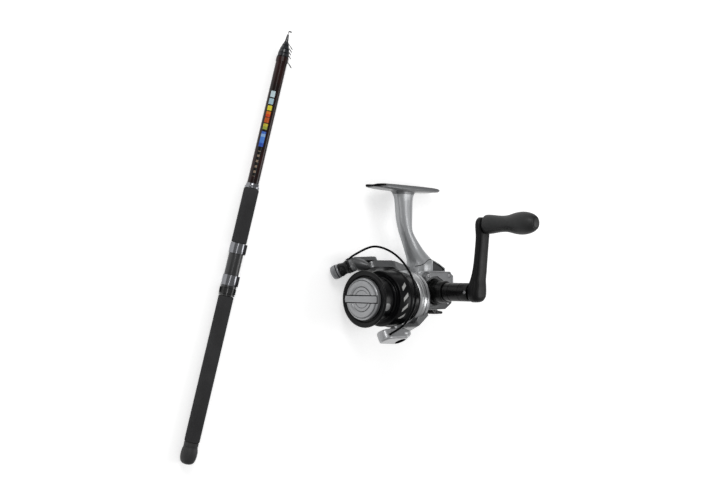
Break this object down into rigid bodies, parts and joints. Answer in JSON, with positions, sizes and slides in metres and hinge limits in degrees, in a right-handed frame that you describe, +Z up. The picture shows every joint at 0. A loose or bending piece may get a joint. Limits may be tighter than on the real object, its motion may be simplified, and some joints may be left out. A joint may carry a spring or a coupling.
{
  "type": "telescopic fishing rod with spinning reel",
  "caption": "Telescopic fishing rod, closed, with foam grips and a screw-down reel seat, lying beside a spinning reel with its bail, spool and cranked handle.",
  "frame": {"origin": "centre of the flat end of the rod's butt cap; the surface that both things lie on is 7.8 mm below it", "axes": "+Y along the rod towards its tip, +Z up from the surface, +X from the rod towards the reel"},
  "size_m": [0.277, 0.4129, 0.1588],
  "materials": {
    "brass": "satin",
    "chrome": "polished",
    "felt_fibre": "matte",
    "foam_black": "matte",
    "graphite_grey": "satin",
    "lacquer_maroon": "gloss",
    "nylon_white": "satin",
    "plastic_black": "satin",
    "rubber_black": "matte",
    "silver_paint": "satin",
    "steel": "satin"
  },
  "bodies": {
    "rod_handle": {"butt_cap": "plastic_black", "butt_section": "lacquer_maroon", "lower_grip": "foam_black", "reel_seat_barrel": "plastic_black", "fixed_hood": "chrome", "upper_grip": "foam_black", "winding_check": "chrome", "butt_guide": "plastic_black"},
    "hood_body": {"sliding_hood": "chrome"},
    "nut_body": {"lock_nut": "plastic_black"},
    "section_2_body": {"section_2": "plastic_black", "guide_2": "plastic_black"},
    "section_3_body": {"section_3": "plastic_black", "guide_3": "plastic_black"},
    "section_4_body": {"section_4": "plastic_black", "guide_4": "plastic_black"},
    "section_5_body": {"section_5": "plastic_black", "guide_5": "plastic_black"},
    "tip_body": {"tip_section": "plastic_black", "tip_top": "plastic_black"},
    "reel_frame": {"reel_body": "silver_paint", "side_cover": "silver_paint", "handle_boss": "plastic_black", "rear_cover": "graphite_grey", "cover_screw_1": "steel", "cover_screw_2": "steel", "cover_screw_3": "steel", "left_bearing": "steel", "right_bearing": "steel", "pinion_bearing": "steel", "one_way_clutch": "steel"},
    "anti_reverse_body": {"anti_reverse_lever": "plastic_black"},
    "crank_body": {"drive_shaft": "steel", "drive_gear": "brass", "handle_cap": "plastic_black", "handle_sleeve": "plastic_black", "handle_screw": "steel", "handle_arm": "plastic_black", "knob_spindle": "steel"},
    "knob_body": {"handle_knob": "rubber_black", "knob_cap": "plastic_black"},
    "oscillation_body": {"oscillation_gear": "nylon_white"},
    "rotor_body": {"rotor": "graphite_grey", "rotor_trim_ring": "plastic_black", "pinion_gear": "brass", "rotor_nut": "steel", "upper_pivot_screw": "steel", "lower_pivot_screw": "steel"},
    "bail_body": {"bail_arm": "graphite_grey", "bail_lever": "silver_paint", "bail_wire": "plastic_black", "roller_screw": "silver_paint"},
    "roller_body": {"line_roller": "plastic_black"},
    "stroke_body": {"main_shaft": "steel", "oscillation_slider": "nylon_white"},
    "spool_body": {"spool": "plastic_black", "arbor_insert": "nylon_white", "drag_washer_1": "felt_fibre", "drag_washer_2": "felt_fibre"},
    "drag_knob_body": {"drag_knob": "silver_paint"}
  },
  "joints": [
    {"name": "hood_slide", "type": "slide", "parent": "rod_handle", "child": "hood_body", "axis": [0, 1, 0], "range_m": [0, 0.015]},
    {"name": "nut_turn", "type": "hinge", "parent": "hood_body", "child": "nut_body", "pos_m": [0, 0.1682, 0], "axis": [0, 1, 0], "range_deg": [0, 3600]},
    {"name": "section_2_slide", "type": "slide", "parent": "rod_handle", "child": "section_2_body", "axis": [0, 1, 0], "range_m": [0, 0.3525]},
    {"name": "section_3_slide", "type": "slide", "parent": "section_2_body", "child": "section_3_body", "axis": [0, 1, 0], "range_m": [0, 0.3563]},
    {"name": "section_4_slide", "type": "slide", "parent": "section_3_body", "child": "section_4_body", "axis": [0, 1, 0], "range_m": [0, 0.36]},
    {"name": "section_5_slide", "type": "slide", "parent": "section_4_body", "child": "section_5_body", "axis": [0, 1, 0], "range_m": [0, 0.3637]},
    {"name": "tip_slide", "type": "slide", "parent": "section_5_body", "child": "tip_body", "axis": [0, 1, 0], "range_m": [0, 0.3673]},
    {"name": "reel_lift", "type": "slide", "parent": "rod_handle", "child": "reel_frame", "axis": [0, 0, 1], "range_m": [0, 0.1]},
    {"name": "handle_turn", "type": "hinge", "parent": "reel_frame", "child": "crank_body", "pos_m": [0.23003, 0.20554, 0.01799], "axis": [0.0994, 0.1495, 0.9838], "continuous": true},
    {"name": "rotor_turn", "type": "hinge", "parent": "reel_frame", "child": "rotor_body", "pos_m": [0.20187, 0.19432, 0.02253], "axis": [-0.9777, -0.1692, 0.1245], "continuous": true},
    {"name": "oscillation_turn", "type": "hinge", "parent": "reel_frame", "child": "oscillation_body", "pos_m": [0.24453, 0.20139, 0.01715], "axis": [0.0994, 0.1495, 0.9838], "continuous": true},
    {"name": "knob_spin", "type": "hinge", "parent": "crank_body", "child": "knob_body", "pos_m": [0.22869, 0.28995, 0.12219], "axis": [0.0994, 0.1495, 0.9838], "continuous": true},
    {"name": "bail_flip", "type": "hinge", "parent": "rotor_body", "child": "bail_body", "pos_m": [0.17254, 0.18925, 0.02627], "axis": [-0.21, 0.8041, -0.5561], "range_deg": [-110, 0]},
    {"name": "line_roller_spin", "type": "hinge", "parent": "bail_body", "child": "roller_body", "pos_m": [0.132, 0.21341, 0.0098], "axis": [0.4643, 0.5826, 0.6671], "continuous": true},
    {"name": "spool_stroke", "type": "slide", "parent": "reel_frame", "child": "stroke_body", "axis": [-0.9777, -0.1692, 0.1245], "range_m": [-0.008, 0.003]},
    {"name": "spool_drag_turn", "type": "hinge", "parent": "stroke_body", "child": "spool_body", "pos_m": [0.15494, 0.1862, 0.02851], "axis": [-0.9777, -0.1692, 0.1245], "continuous": true},
    {"name": "drag_knob_turn", "type": "hinge", "parent": "stroke_body", "child": "drag_knob_body", "pos_m": [0.13832, 0.18332, 0.03062], "axis": [-0.9777, -0.1692, 0.1245], "range_deg": [0, 720]},
    {"name": "anti_reverse_switch", "type": "hinge", "parent": "reel_frame", "child": "anti_reverse_body", "pos_m": [0.25473, 0.18717, 0.01828], "axis": [0.0994, 0.1495, 0.9838], "range_deg": [0, 16]}
  ],
  "couplings": [
    {"joint": "nut_turn", "follows": "hood_slide", "rad_per_m": 4188.8},
    {"joint": "rotor_turn", "follows": "handle_turn", "ratio": -5},
    {"joint": "oscillation_turn", "follows": "handle_turn", "ratio": -0.44444}
  ]
}
